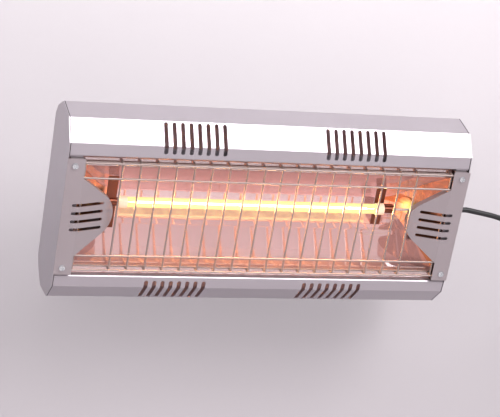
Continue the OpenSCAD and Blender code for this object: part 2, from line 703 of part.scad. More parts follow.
// ---- Yoke, wall bracket and tilt knobs ----
arm_in = bracket_w / 2 - bracket_t;
arm_out = bracket_w / 2;
washer_t = 2.2;
ear_out = arm_in - side_gap - washer_t;
yoke_screw_x = 30;
yoke_screw_z = 12;
yoke_screw_r = 2.5;
bolt_r = bolt_d / 2;
bolt_head_h = bolt_d * 0.66;
knob_washer_t = 1.2;
knob_in = arm_out + side_gap + knob_washer_t + side_gap;
yoke_h = 40;
module yoke() color(zinc) in_case() difference() {
  union() {
    translate([-ear_out, case_back, -yoke_h / 2]) cube([2 * ear_out, yoke_t, yoke_h]);
    both_ends() {
      translate([ear_out - yoke_t, case_back, -ear_r]) cube([yoke_t, pivot_behind, 2 * ear_r]);
      x_rod(ear_out - yoke_t, ear_out, pivot_y, 0, ear_r);
    }
  }
  x_rod(-ear_out - 1, ear_out + 1, pivot_y, 0, bolt_r + bore_fit);
  for (side = [-1, 1], up = [-1, 1])
    y_rod(side * yoke_screw_x, case_back - 1, case_back + yoke_t + 1, up * yoke_screw_z,
      yoke_screw_r + bore_fit);
}
module yoke_screws() color(zinc) in_case()
  for (side = [-1, 1], up = [-1, 1])
    translate([side * yoke_screw_x, case_back + yoke_t, up * yoke_screw_z])
      rotate([-90, 0, 0]) pan_screw(4.6, 3, yoke_screw_r, 8);
module friction_washers() color([0.9, 0.9, 0.86]) in_case() both_ends() difference() {
  x_rod(ear_out, ear_out + washer_t, pivot_y, 0, ear_r - 1);
  x_rod(ear_out - 1, ear_out + washer_t + 1, pivot_y, 0, bolt_r + bore_fit);
}
module pivot_bolts() color(zinc) in_case() both_ends() {
  x_rod(ear_out - yoke_t, knob_in + knob_l - 4, pivot_y, 0, bolt_r);
  translate([ear_out - yoke_t - bolt_head_h, pivot_y, 0])
    rotate([0, 90, 0]) cylinder(r = bolt_d * 0.96, h = bolt_head_h, $fn = 6);
}
module knob_washers() color(zinc) in_case() both_ends() difference() {
  x_rod(arm_out + side_gap, arm_out + side_gap + knob_washer_t, pivot_y, 0, bolt_r * 2.2);
  x_rod(arm_out, arm_out + 4, pivot_y, 0, bolt_r + bore_fit);
}
knob_neck = 5;
module tilt_knob() difference() {
  lobe_r = knob_r * 0.29;
  lobe_at = knob_r - lobe_r;
  grip_in = knob_in + knob_neck;
  union() {
    x_rod(knob_in, grip_in, pivot_y, 0, knob_r * 0.6);
    x_rod(grip_in, knob_in + knob_l, pivot_y, 0, knob_r * 0.82);
    for (a = [0:60:300])
      x_rod(grip_in, knob_in + knob_l, pivot_y + lobe_at * sin(a), lobe_at * cos(a), lobe_r);
  }
  x_rod(knob_in - 1, knob_in + knob_l - 3, pivot_y, 0, bolt_r + bolt_fit);
}
module tilt_knob_left() color(black) in_case() left_side() tilt_knob();
module tilt_knob_right() color(black) in_case() tilt_knob();

module wall_bracket() color(zinc) difference() {
  union() {
    translate([-arm_out, -bracket_t, -bracket_h / 2]) cube([bracket_w, bracket_t, bracket_h]);
    both_ends() {
      translate([arm_in, -pivot_reach, -arm_r]) cube([bracket_t, pivot_reach, 2 * arm_r]);
      x_rod(arm_in, arm_out, -pivot_reach, 0, arm_r);
    }
  }
  x_rod(-arm_out - 1, arm_out + 1, -pivot_reach, 0, bolt_r + bolt_fit);
  for (side = [-1, 1], up = [-1, 1])
    y_rod(side * hole_dx / 2, -bracket_t - 1, 1, up * hole_dz / 2, hole_d / 2);
}

// ---- Mains lead ----
cord_r = cord_d / 2;
neck_r = cord_r + 2.4;
relief_tip = case_half + 2 + relief_l;
relief_flange_r = neck_r + 3.2;
relief_bore = cord_r + 0.05;
relief_in = skin_half - 7;
module strain_relief() color(black) in_case() translate([0, gland_y, 0]) rotate([0, 90, 0])
  rotate_extrude($fn = 48) polygon([
    [relief_bore, relief_in], [neck_r, relief_in], [neck_r, case_half], [relief_flange_r, case_half],
    [relief_flange_r, case_half + 2], [neck_r + 1, case_half + 2.01], [cord_r + 1.1, relief_tip],
    [relief_bore, relief_tip]
  ]);
module gland_nut() color(black) in_case() difference() {
  translate([skin_half - 5, gland_y, 0]) rotate([0, 90, 0]) cylinder(r = neck_r + 4, h = 5, $fn = 6);
  x_rod(skin_half - 6, skin_half + 1, gland_y, 0, neck_r + bore_fit);
}
// The sheathed end of the lead, through the outlet and the strain relief
module inner_cord() color(black) in_case() x_rod(sheath_end, relief_tip, gland_y, 0, cord_r);

// The lead's route on the wall side, chosen by hand, from the strain relief's tip to the coil and from
// the coil to the plug. Each point is [x, y, z].
gland_behind = gland_y - pivot_y;
relief_end = [relief_tip, -pivot_reach + gland_behind * cos(rest_tilt), gland_behind * sin(rest_tilt)];
coil_mid = [371, -104, -173];
coil_out = 47;
coil_in = 24.2;
coil_turns = 7;
layer = 6.5;
coil_top = coil_mid + [0, 0, coil_out];
lead_route = [
  relief_end, relief_end + [7, 0, -0.1], [258, -115.6, -32.6], [270, -115.4, -34.7],
  [282, -115, -37], [293, -114, -40], [304, -112.5, -44.5], [314, -111, -51],
  [322, -109.5, -59.5], [328, -108.2, -70], [331.5, -107, -82], [333, -106, -94],
  [334.5, -105, -106], [340.5, -104.3, -116.5], [350, -104, -123.5],
  coil_top - [cord_d + 4, 0, 0], coil_top - [cord_d, 0, 0]
];
tail_start = coil_top + [cord_d, layer, 0];
tail_route = [
  tail_start, tail_start + [5, 0, 0], [393, -97.5, -128], [404, -97.5, -133],
  [413.5, -97.5, -141], [420, -97.5, -151], [423.5, -97.5, -162], [424.5, -97.5, -174],
  [424.5, -97.5, -185]
];
// A smooth line through a route's points
function along(p, i, s) =
  let (
    a = p[max(i - 1, 0)],
    b = p[i],
    c = p[i + 1],
    d = p[min(i + 2, len(p) - 1)],
    leaving = unit(c - a) * norm(c - b),
    arriving = unit(d - b) * norm(c - b)
  ) b * (2 * pow(s, 3) - 3 * s * s + 1) + leaving * (pow(s, 3) - 2 * s * s + s)
    + c * (3 * s * s - 2 * pow(s, 3)) + arriving * (pow(s, 3) - s * s);
function smooth(p, steps) = concat(
  [for (i = [0:len(p) - 2], k = [0:steps - 1]) along(p, i, k / steps)],
  [p[len(p) - 1]]
);
// The coil winds clockwise from its top: in on the front layer, out again on the rear one.
function ease(s) = s <= 0 ? 0 : s >= 1 ? 1 : s * s * (3 - 2 * s);
function coil_point(t) =
  let (
    half = coil_turns / 2,
    r = coil_in + (coil_out - coil_in) * abs(t - half) / half,
    a = 90 - 360 * t
  ) coil_mid + [r * cos(a), layer * ease((t - half + 0.25) * 2), r * sin(a)];
coil_rings = 24;
coil_path = concat(
  [coil_top - [cord_d, 0, 0]],
  [for (i = [0:coil_turns * coil_rings]) coil_point(i / coil_rings)],
  [tail_start]
);
// A tube swept along points. Each ring stands square to the line there, and the first ring's upward direction
// is carried along from ring to ring so that the tube doesn't twist.
function heading(p, i) = unit(p[min(i + 1, len(p) - 1)] - p[max(i - 1, 0)]);
function carried(u, f) = unit(u - f * (u * f));
module tube(p, r, sides) {
  n = len(p);
  ups = [
    for (
      i = 0, u = carried([0, 1, 0.2], heading(p, 0));
      i < n;
      i = i + 1, u = carried(u, heading(p, min(i, n - 1)))
    ) u
  ];
  points = [
    for (i = [0:n - 1], k = [0:sides - 1])
      p[i] + r * (ups[i] * cos(360 * k / sides) + cross(heading(p, i), ups[i]) * sin(360 * k / sides))
  ];
  sides_faces = [
    for (i = [0:n - 2], k = [0:sides - 1])
      let (a = i * sides + k, b = i * sides + (k + 1) % sides)
        each [[b, a, a + sides], [b + sides, b, a + sides]]
  ];
  caps = [
    for (k = [1:sides - 2])
      each [[0, k, k + 1], [(n - 1) * sides, (n - 1) * sides + k + 1, (n - 1) * sides + k]]
  ];
  polyhedron(points = points, faces = concat(sides_faces, caps));
}
module cord_lead() color(black) tube(smooth(lead_route, 3), cord_r, 10);
module cord_coil() color(black) tube(coil_path, cord_r, 6);
module cord_tail() color(black) tube(smooth(tail_route, 3), cord_r, 10);
// Least distance between turns of the coil's middle line that lie more than half a turn apart along it
apart = [
  for (i = [0:2:len(coil_path) - 1], j = [i + floor(coil_rings * 0.6):1:len(coil_path) - 1])
    norm(coil_path[i] - coil_path[j])
];
echo(least_gap_in_coil = min(apart) - cord_d);

tie_t = 1.2;
tie_w = 8;
// The band clears the turns it holds by this much.
tie_fit = 0.3;
module cord_tie() color([0.2, 0.2, 0.21]) {
  low = coil_mid[2] + coil_in + (coil_out - coil_in) / coil_turns - cord_r - tie_fit;
  front = coil_mid[1] - cord_r - tie_fit;
  tall = coil_mid[2] + coil_out + cord_r + tie_fit - low;
  deep = layer + cord_d + 2 * tie_fit;
  difference() {
    translate([coil_mid[0] - tie_w / 2, front - tie_t, low - tie_t])
      cube([tie_w, deep + 2 * tie_t, tall + 2 * tie_t]);
    translate([coil_mid[0] - tie_w / 2 - 1, front, low]) cube([tie_w + 2, deep, tall]);
  }
}

plug_top = tail_route[len(tail_route) - 1];
plug_r = 18.5;
plug_l = 50;
pin_r = 2.4;
pin_gap = 19;
pin_out = 19;
pin_in = 8;
// The plug's half section, down from where the cord enters it: a tapered relief, a shoulder and the grip
plug_section = [
  [0, 0], [cord_r + 1.2, 0], [cord_r + 3.2, -20], [plug_r * 0.8, -26], [plug_r * 0.95, -30],
  [plug_r, -36], [plug_r, -plug_l], [0, -plug_l]
];
module plug_body() color(black) translate(plug_top) difference() {
  rotate_extrude($fn = 48) polygon(plug_section);
  for (side = [-1, 1])
    translate([side * pin_gap / 2, 0, -plug_l - 1]) cylinder(r = pin_r + 0.05, h = pin_in + 1, $fn = 32);
}
module plug_pins() color(zinc) translate(plug_top)
  for (side = [-1, 1])
    translate([side * pin_gap / 2, 0, -plug_l - pin_out]) cylinder(r = pin_r, h = pin_out + pin_in, $fn = 32);

wall_bracket();
top_shell();
bottom_shell();
back_panel();
end_cap_left();
end_cap_right();
front_plate_left();
front_plate_right();
plate_screws();
wire_guard();
reflector();
reflector_end_left();
reflector_end_right();
reflector_rivets();
quartz_tube();
filament();
lamp_cap_left();
lamp_cap_right();
lamp_holder_left();
lamp_holder_right();
lamp_lead_left();
lamp_lead_right();
terminal_block();
terminal_screws();
supply_cores();
earth_lead();
earth_screw();
back_screws();
yoke();
yoke_screws();
friction_washers();
pivot_bolts();
knob_washers();
tilt_knob_left();
tilt_knob_right();
strain_relief();
gland_nut();
inner_cord();
cord_lead();
cord_coil();
cord_tail();
cord_tie();
plug_body();
plug_pins();
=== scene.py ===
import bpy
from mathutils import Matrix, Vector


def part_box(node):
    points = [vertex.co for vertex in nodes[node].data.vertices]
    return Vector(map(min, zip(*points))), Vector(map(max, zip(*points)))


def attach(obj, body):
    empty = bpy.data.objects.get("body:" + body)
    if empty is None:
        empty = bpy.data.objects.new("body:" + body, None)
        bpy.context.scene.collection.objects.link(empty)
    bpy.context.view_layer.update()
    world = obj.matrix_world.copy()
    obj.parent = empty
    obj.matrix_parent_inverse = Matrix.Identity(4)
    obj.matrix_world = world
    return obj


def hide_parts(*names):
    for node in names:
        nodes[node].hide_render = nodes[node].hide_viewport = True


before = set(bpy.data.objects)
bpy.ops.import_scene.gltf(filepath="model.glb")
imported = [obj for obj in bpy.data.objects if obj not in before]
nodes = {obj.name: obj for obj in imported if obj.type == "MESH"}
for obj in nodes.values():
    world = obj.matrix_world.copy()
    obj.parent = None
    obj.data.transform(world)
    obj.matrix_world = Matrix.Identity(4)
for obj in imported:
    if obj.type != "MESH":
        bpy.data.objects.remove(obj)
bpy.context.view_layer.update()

import math

import bmesh
import bpy
from mathutils import Matrix, Vector

scene = bpy.context.scene

# Camera: it stands in the room, low and to the left of the heater, and looks up at it through a long lens, as the
# photograph was taken. Its place and direction were solved from the case's edges.
camera_place = (-0.6211, -1.9760, -0.1859)
looking = Vector((0.3133, 0.9465, 0.0762)).normalized()
sideways = Vector((0.9493, -0.3144, 0.0027))
sideways = (sideways - looking * sideways.dot(looking)).normalized()
upwards = sideways.cross(looking)
camera_data = bpy.data.cameras.new("room_camera")
camera_data.sensor_width = 36
camera_data.lens = 132.2
camera_data.clip_start = 0.05
camera_data.clip_end = 30
camera = bpy.data.objects.new("room_camera", camera_data)
turned = Matrix((sideways, upwards, -looking)).transposed().to_4x4()
camera.matrix_world = Matrix.Translation(camera_place) @ turned
scene.collection.objects.link(camera)
scene.camera = camera
scene.view_settings.view_transform = "Standard"

# Mains lead: 1.8 m of 6 mm black rubber-sheathed flex. It leaves the strain relief straight, drops just outside the
# picture into a neat seven-turn coil held by a nylon band, and ends in its moulded plug. The routes are in mm.
cord_d = 0.006
relief_end = Vector((0.242, -0.115694, -0.031))
coil_mid = Vector((0.371, -0.104, -0.173))
coil_out, coil_in, coil_turns, layer = 0.047, 0.0242, 7, 0.0065
turn_points, route_steps = 48, 6
lead_route = [relief_end, relief_end + Vector((0.007, 0, -0.0001))] + [Vector(p) / 1000 for p in (
    (258, -115.6, -32.6), (270, -115.4, -34.7), (282, -115, -37), (293, -114, -40), (304, -112.5, -44.5),
    (314, -111, -51), (322, -109.5, -59.5), (328, -108.2, -70), (331.5, -107, -82), (333, -106, -94),
    (334.5, -105, -106), (340.5, -104.3, -116.5), (350, -104, -123.5), (361, -104, -126), (365, -104, -126))]
tail_route = [Vector(p) / 1000 for p in (
    (377, -97.5, -126), (382, -97.5, -126), (393, -97.5, -128), (404, -97.5, -133), (413.5, -97.5, -141),
    (420, -97.5, -151), (423.5, -97.5, -162), (424.5, -97.5, -174), (424.5, -97.5, -185))]


def along(route, i, s):
    """A point on the smooth curve through the route, a share s of the way from its point i to the next."""
    a, b, c, d = route[max(i - 1, 0)], route[i], route[i + 1], route[min(i + 2, len(route) - 1)]
    span = (c - b).length
    leaving, arriving = (c - a).normalized() * span, (d - b).normalized() * span
    return (b * (2 * s**3 - 3 * s * s + 1) + leaving * (s**3 - 2 * s * s + s)
            + c * (3 * s * s - 2 * s**3) + arriving * (s**3 - s * s))


def smooth_route(route):
    spans = range(len(route) - 1)
    return [along(route, i, k / route_steps) for i in spans for k in range(route_steps)] + [route[-1]]


def coil_point(t):
    """A point of the coil after t turns: it winds inwards, crosses to its second layer and winds outwards again."""
    half = coil_turns / 2
    r = coil_in + (coil_out - coil_in) * abs(t - half) / half
    a = math.radians(90 - 360 * t)
    s = min(max((t - half + 0.25) * 2, 0), 1)
    return coil_mid + Vector((r * math.cos(a), layer * s * s * (3 - 2 * s), r * math.sin(a)))


def round_wire(name, points, radius, sides):
    """A wire or flex through a line of points, with closed ends."""
    curve = bpy.data.curves.new(name, "CURVE")
    curve.dimensions = "3D"
    curve.bevel_depth = radius
    curve.bevel_resolution = sides
    curve.use_fill_caps = True
    line = curve.splines.new("POLY")
    line.points.add(len(points) - 1)
    for point, place in zip(line.points, points):
        point.co = (*place, 1)
    wire = bpy.data.objects.new(name, curve)
    scene.collection.objects.link(wire)
    return wire


cord_line = smooth_route(lead_route)
cord_line += [coil_point(i / turn_points) for i in range(coil_turns * turn_points + 1)]
cord_line += smooth_route(tail_route)
mains_lead = round_wire("mains_lead", cord_line, cord_d / 2, 4)


def feed(tree, socket, value):
    """Links an input to another node's output, or sets it to a value."""
    if isinstance(value, bpy.types.NodeSocket):
        tree.links.new(value, socket)
    else:
        socket.default_value = value


def add_node(tree, kind, inputs=None, **settings):
    """A shader node with its settings made first, and then its inputs, each by its name or its number."""
    made = tree.nodes.new(f"ShaderNode{kind}")
    for name, value in settings.items():
        setattr(made, name, value)
    for name, value in (inputs or {}).items():
        feed(tree, made.inputs[name], value)
    return made


def ramp(tree, value, start, end, low, high):
    """A level that runs from low to high while the value runs from start to end, and stays there beyond them."""
    return add_node(tree, "MapRange", {"Value": value, "From Min": start, "From Max": end,
                                       "To Min": low, "To Max": high}).outputs["Result"]


def own_place(tree):
    return add_node(tree, "TexCoord").outputs["Object"]


def plain_finish(name, colour, roughness, metallic=0.0, grain=900, depth=0.0, mottle=0.06, patches=14,
                 stretch=None):
    """A finish with a slow drift in colour over a fine grain in gloss, and in height where it has a depth."""
    material = bpy.data.materials.new(name)
    material.use_nodes = True
    tree = material.node_tree
    shader = tree.nodes["Principled BSDF"]
    shader.inputs["Metallic"].default_value = metallic
    place = own_place(tree)
    drift = add_node(tree, "TexNoise", {"Vector": place, "Scale": patches, "Detail": 3}).outputs["Fac"]
    tone = ramp(tree, drift, 0.3, 0.7, 1 - mottle, 1 + mottle)
    tint = add_node(tree, "VectorMath", {0: colour, "Scale": tone}, operation="SCALE").outputs["Vector"]
    feed(tree, shader.inputs["Base Color"], tint)
    if stretch:
        place = add_node(tree, "Mapping", {"Vector": place, "Scale": stretch}).outputs["Vector"]
    fine = add_node(tree, "TexNoise", {"Vector": place, "Scale": grain, "Detail": 4}).outputs["Fac"]
    spread = min(0.045, roughness / 2)
    sheen = ramp(tree, fine, 0.25, 0.75, roughness - spread, roughness + spread)
    feed(tree, shader.inputs["Roughness"], sheen)
    if depth:
        bump = add_node(tree, "Bump", {"Strength": 1, "Distance": depth, "Height": fine}).outputs["Normal"]
        feed(tree, shader.inputs["Normal"], bump)
    return material


def lamp_and_painted_glow(material, colour, strength):
    """An emission: the lamp's own light on its filament, and painted light on lamp-lit metal and ceramic, standing in
    for the lamp's light that they give back in all directions.
    """
    shader = material.node_tree.nodes["Principled BSDF"]
    shader.inputs["Emission Color"].default_value = (*colour, 1)
    shader.inputs["Emission Strength"].default_value = strength


def finish_nodes(material, *names):
    for name in names:
        mesh = nodes[name].data
        mesh.materials.clear()
        mesh.materials.append(material)


cord_rubber = plain_finish("cord_rubber", (0.012, 0.012, 0.014), 0.42, grain=1500, depth=0.00004)
mains_lead.data.materials.append(cord_rubber)
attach(mains_lead, "heater")
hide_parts("cord_lead", "cord_coil", "cord_tail")
finish_nodes(cord_rubber, "plug_body", "strain_relief", "inner_cord")
finish_nodes(plain_finish("tie_nylon", (0.02, 0.02, 0.022), 0.5), "cord_tie")
finish_nodes(plain_finish("pin_plating", (0.75, 0.72, 0.62), 0.2, metallic=1), "plug_pins")

# Case: two folded shells, a back panel and two end caps of 1.2 mm steel, punched with vents and powder coated in a
# satin silver grey. A painted shadow darkens the coat in the thin seams where the end caps meet the shells, standing
# in for the shade of the gap between them.
case_coat = plain_finish("case_coat", (0.455, 0.425, 0.455), 0.34, metallic=0.55, grain=2600, depth=0.00002,
                         mottle=0.02)
finish_nodes(case_coat, "top_shell", "bottom_shell", "back_panel", "end_cap_left", "end_cap_right")
shell_low, shell_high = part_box("top_shell")
seam_x = (shell_high[0] - shell_low[0]) / 2
seam_half, seam_fade, seam_shadow_tone = 0.0003, 0.0006, 0.12


def calc(tree, operation, *values):
    return add_node(tree, "Math", dict(enumerate(values)), operation=operation).outputs["Value"]


def distance_from(tree, x):
    """How far a point of the surface lies from a plane across the heater, on either side of it."""
    own_x = add_node(tree, "SeparateXYZ", {"Vector": own_place(tree)}).outputs["X"]
    return calc(tree, "ABSOLUTE", calc(tree, "SUBTRACT", own_x, x))


def scale_input(material, name, level):
    """Multiplies one of the shader's inputs by a level that runs over the surface."""
    tree = material.node_tree
    socket = tree.nodes["Principled BSDF"].inputs[name]
    earlier = socket.links[0].from_socket if socket.is_linked else socket.default_value
    if name == "Base Color":
        scaled = add_node(tree, "VectorMath", {0: earlier, "Scale": level}, operation="SCALE").outputs["Vector"]
    else:
        scaled = calc(tree, "MULTIPLY", earlier, level)
    feed(tree, socket, scaled)


tree = case_coat.node_tree
# Painted shadow: the coat is darkened in a thin line along each seam between an end cap and a shell.
from_seam = calc(tree, "ABSOLUTE", calc(tree, "SUBTRACT", distance_from(tree, 0), seam_x))
scale_input(case_coat, "Base Color", ramp(tree, from_seam, seam_half, seam_fade, seam_shadow_tone, 1))

# Front plates: pressed from 1 mm steel in a slightly darker coat, one at each end, with four cooling slots and a nose
# that shields the lamp's end. A bright pan-head screw holds each corner.
plate_coat = plain_finish("plate_coat", (0.39, 0.345, 0.358), 0.36, metallic=0.5, grain=2600, depth=0.00002,
                          mottle=0.02)
finish_nodes(plate_coat, "front_plate_left", "front_plate_right")
bright_screw = plain_finish("bright_screw", (0.75, 0.78, 0.8), 0.22, metallic=1)
finish_nodes(bright_screw, "plate_screws")

# Wire guard: 18 upright steel wires welded across longer rods, 2.1 mm thick and plated. The plating has dulled and
# browned a little in the lamp's heat.
guard_plate = plain_finish("guard_plate", (0.34, 0.27, 0.25), 0.3, metallic=0.25, grain=1800)
finish_nodes(guard_plate, "wire_guard")

# Trough: 0.8 mm polished aluminium, folded into a shallow trough behind the lamp, with a flange behind each front lip.
# Its section is drawn in the case's own frame, with softly rounded bends, so that what it mirrors has no break.
tilt = math.radians(30)
backwards = Vector((0, math.cos(tilt), math.sin(tilt)))
case_up = Vector((0, -math.sin(tilt), math.cos(tilt)))
tilt_axis_y, tilt_axis_depth = -0.062, 0.105
lip_d, flange_top, mirror_t = 0.0082, 0.0752, 0.0008
trough_edge, trough_knee = Vector((0.0082, 0.0544)), Vector((0.0422, 0.0262))
trough_rear, trough_bulge, bow_steps = Vector((0.0596, 0.0054)), 0.0012, 28
knee_reach, rear_reach, flat_margin = 0.0009, 0.0015, 0.0004


def in_room(x, depth, height):
    """From the case's own frame, whose depth runs back from the front lips, to the room."""
    back = depth - tilt_axis_depth
    return Vector((x, tilt_axis_y + back * math.cos(tilt) - height * math.sin(tilt),
                   back * math.sin(tilt) + height * math.cos(tilt)))


def bent(before, corner, after, steps):
    """Points along the arc that leaves before towards the corner and arrives at after."""
    shares = [i / steps for i in range(steps + 1)]
    return [before * (1 - t) ** 2 + corner * 2 * t * (1 - t) + after * t * t for t in shares]


def bowed(a, b, rise, steps):
    """A shallow bow between two points, with its rise at the middle."""
    across = Vector((a.y - b.y, b.x - a.x)).normalized()
    return bent(a, (a + b) / 2 + across * rise * 2, b, steps)


def rounded(path, corner, reach, steps):
    """The path with one corner replaced by an arc that starts and ends at the given reach from it."""
    before = (path[corner - 1] - path[corner]).normalized() * reach + path[corner]
    after = (path[corner + 1] - path[corner]).normalized() * reach + path[corner]
    return path[:corner] + bent(before, path[corner], after, steps) + path[corner + 1:]


def held_flat(path, margin):
    """Extra points near both ends of each long stretch, so that the smooth shading of a bend ends there."""
    kept = [path[0]]
    for a, b in zip(path, path[1:]):
        if (b - a).length > 4 * margin:
            step = (b - a).normalized() * margin
            kept += [a + step, b - step]
        kept.append(b)
    return kept


upper_side = bowed(trough_edge, trough_knee, trough_bulge, bow_steps) + [trough_rear]
upper_side = rounded(upper_side, bow_steps, knee_reach, 4)
upper_side = rounded(upper_side + [Vector((trough_rear.x, 0))], len(upper_side) - 1, rear_reach, 6)
upper_side = held_flat(upper_side, flat_margin)[:-1]
section = [Vector((lip_d, flange_top)), *upper_side]
section += [Vector((p.x, -p.y)) for p in reversed(section)]


def sheet_piece(name, rows, thickness, material, replaced):
    """A sheet through rows of points. Its faces have no normals when solidify runs, so its back gets no thickness
    and lies where its front does."""
    mesh = bpy.data.meshes.new(name)
    bm = bmesh.new()
    grid = [[bm.verts.new(p) for p in row] for row in rows]
    for low, high in zip(grid, grid[1:]):
        for k in range(len(low) - 1):
            bm.faces.new((low[k], low[k + 1], high[k + 1], high[k]))
    for face in bm.faces:
        face.smooth = True
    bmesh.ops.solidify(bm, geom=bm.faces[:], thickness=thickness)
    bm.to_mesh(mesh)
    bm.free()
    mesh.set_sharp_from_angle(angle=math.radians(24))
    mesh.materials.append(material)
    piece = bpy.data.objects.new(name, mesh)
    scene.collection.objects.link(piece)
    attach(piece, "heater")
    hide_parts(replaced)
    return piece


# The painted glow of the lit aluminium, an emission standing in for the lamp's light, fades towards the top and the
# front
# lips. Where a front plate's nose stands before the sheet and keeps the lamp's light off, a painted shade makes it
# dark:
# outwards from shade_from, between the nose's foot and its top.
shade_middle, shade_from, shade_full, shade_tone = 0.0085, 0.17, 0.1755, 0.04
nose_top, nose_top_fade, nose_foot, nose_foot_fade = 0.004, 0.013, -0.0325, -0.0345


def from_start(tree, start):
    return add_node(tree, "VectorMath", {0: own_place(tree), 1: start}, operation="SUBTRACT").outputs["Vector"]


def case_distance(tree, direction, start):
    """How far a point of the surface lies from the start along one of the case's own directions."""
    operands = {0: from_start(tree, start), 1: direction}
    return add_node(tree, "VectorMath", operands, operation="DOT_PRODUCT").outputs["Value"]


def fade_painted_glow(material, direction, start, end, low, high):
    along_case = case_distance(material.node_tree, direction, in_room(0, 0, 0))
    scale_input(material, "Emission Strength", ramp(material.node_tree, along_case, start, end, low, high))


def shade_behind_plates(material, below_nose):
    """Paints shade: dims a sheet's colour and glow behind the noses, and below them down to the given level."""
    tree = material.node_tree
    height = case_distance(tree, case_up, in_room(0, 0, 0))
    lit = ramp(tree, distance_from(tree, shade_middle), shade_from, shade_full, 1, shade_tone)
    lit = calc(tree, "MAXIMUM", lit, ramp(tree, height, nose_top, nose_top_fade, 0, 1))
    lit = calc(tree, "MAXIMUM", lit, ramp(tree, height, nose_foot_fade, nose_foot, below_nose, 0))
    scale_input(material, "Base Color", lit)
    scale_input(material, "Emission Strength", lit)


# Painted light: the mirror's pale pink tint and its emission stand in for the lamp's light on the aluminium.
mirror_skin = plain_finish("mirror_skin", (0.96, 0.87, 0.86), 0.03, metallic=1, grain=300, stretch=(0.04, 1, 1),
                           mottle=0.03)
lamp_and_painted_glow(mirror_skin, (1, 0.48, 0.44), 1)
fade_painted_glow(mirror_skin, case_up, -0.01, 0.02, 0.25, 0.1)
fade_painted_glow(mirror_skin, backwards, 0.008, 0.02, 0.35, 1)
shade_behind_plates(mirror_skin, 1)
mirror_low, mirror_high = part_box("reflector")
mirror_rows = [[in_room(x, p.x, p.y) for p in section] for x in (mirror_low[0], mirror_high[0])]
mirror_trough = sheet_piece("mirror_trough", mirror_rows, mirror_t, mirror_skin, "reflector")

# Cheeks: a curved sheet of the same aluminium, with a copper-coloured base, closes each end of the trough. A painted
# glow, an emission standing in for the lamp's light, is strongest in a round painted highlight beside the lamp's end,
# which stands in for the lamp's reflection there, and is brighter below the lamp than above it.
cheek_skin = plain_finish("cheek_skin", (0.97, 0.64, 0.48), 0.05, metallic=1, grain=1500, mottle=0.04)
painted_glow_red, painted_highlight_yellow = (1, 0.32, 0.13), (1, 0.7, 0.18)
lamp_and_painted_glow(cheek_skin, painted_glow_red, 1)
fade_painted_glow(cheek_skin, case_up, -0.045, 0.03, 0.7, 0.1)
shade_behind_plates(cheek_skin, 0.4)
highlight_middle, highlight_core, highlight_rim, highlight_glow = in_room(0, 0.0435, 0.001), 0.004, 0.011, 3.5


def two_tone(tree, share, first, second):
    """The first colour where the share is 0, the second where it is 1, and a mix of both between."""
    return add_node(tree, "Mix", {"Factor": share, "A": first, "B": second}, data_type="RGBA").outputs["Result"]


# Painted highlight: a round yellow patch of stronger emission beside the lamp's end stands in for its reflection.
tree = cheek_skin.node_tree
operands = {0: from_start(tree, highlight_middle), 1: (1, 0, 0)}
across = add_node(tree, "VectorMath", operands, operation="CROSS_PRODUCT").outputs["Vector"]
from_lamp = add_node(tree, "VectorMath", {0: across}, operation="LENGTH").outputs["Value"]
painted_highlight = ramp(tree, from_lamp, highlight_core, highlight_rim, 1, 0)
painted_highlight.node.interpolation_type = "SMOOTHSTEP"
tint = two_tone(tree, painted_highlight, (*painted_glow_red, 1), (*painted_highlight_yellow, 1))
feed(tree, tree.nodes["Principled BSDF"].inputs["Emission Color"], tint)
scale_input(cheek_skin, "Emission Strength", ramp(tree, painted_highlight, 0, 1, 1, highlight_glow))
cheek_gap, cheek_rear, cheek_pull, cheek_steps = 0.0002, 0.0593, Vector((0.48, 0.0556)), 32


def trough_half_height(depth):
    for a, b in zip(upper_side, upper_side[1:]):
        if a.x <= depth <= b.x and b.x > a.x:
            return a.y + (b.y - a.y) * (depth - a.x) / (b.x - a.x)
    return upper_side[-1].y


def cheek(name, side):
    """One end of the trough: side is -1 on the left and 1 on the right."""
    low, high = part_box(f"reflector_end_{name}")
    outer, inner = (high[0], low[0]) if side > 0 else (-low[0], -high[0])
    pull = Vector((outer - (outer - inner) * cheek_pull.x, cheek_pull.y))
    line = bent(Vector((outer, lip_d + cheek_gap)), pull, Vector((inner, cheek_rear)), cheek_steps)
    heights = [trough_half_height(p.y) - cheek_gap for p in line]
    rows = [[in_room(side * p.x, p.y, tall * j / 4) for j in range(-4, 5)] for p, tall in zip(line, heights)]
    return sheet_piece(f"cheek_{name}", rows, -side * mirror_t, cheek_skin, f"reflector_end_{name}")


cheeks = [cheek("left", -1), cheek("right", 1)]

# Lamp: a quartz tube whose back half has a mottled gold coat, a tight coil of glowing wire along its axis on seven
# support rings, and ceramic caps that two heat-darkened steel straps hold.
tube_low, tube_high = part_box("quartz_tube")
axis_y, axis_z = (tube_low[1] + tube_high[1]) / 2, (tube_low[2] + tube_high[2]) / 2
lamp_axis = Vector((0, axis_y, axis_z))
coat_edge, clear_cover, coat_cover = 0.0008, 0.35, 0.985
quartz = bpy.data.materials.new("quartz")
quartz.use_nodes = True
tree = quartz.node_tree
shader = tree.nodes["Principled BSDF"]
shader.inputs["Base Color"].default_value = (0.3, 0.22, 0.08, 1)
shader.inputs["Roughness"].default_value = 0.03
shader.inputs["Emission Strength"].default_value = 1
coat = ramp(tree, case_distance(tree, backwards, lamp_axis), -coat_edge, coat_edge, 0, 1)
flecks = add_node(tree, "TexNoise", {"Vector": own_place(tree), "Scale": 130, "Detail": 2}).outputs["Fac"]
gold = add_node(tree, "ValToRGB", {"Fac": flecks})
for stop, position, colour in zip(gold.color_ramp.elements, (0.4, 0.75),
                                  ((0.58, 0.48, 0.2, 1), (0.95, 0.85, 0.36, 1))):
    stop.position = position
    stop.color = colour
feed(tree, shader.inputs["Emission Color"], two_tone(tree, coat, (1.3, 1.1, 0.42, 1), gold.outputs["Color"]))
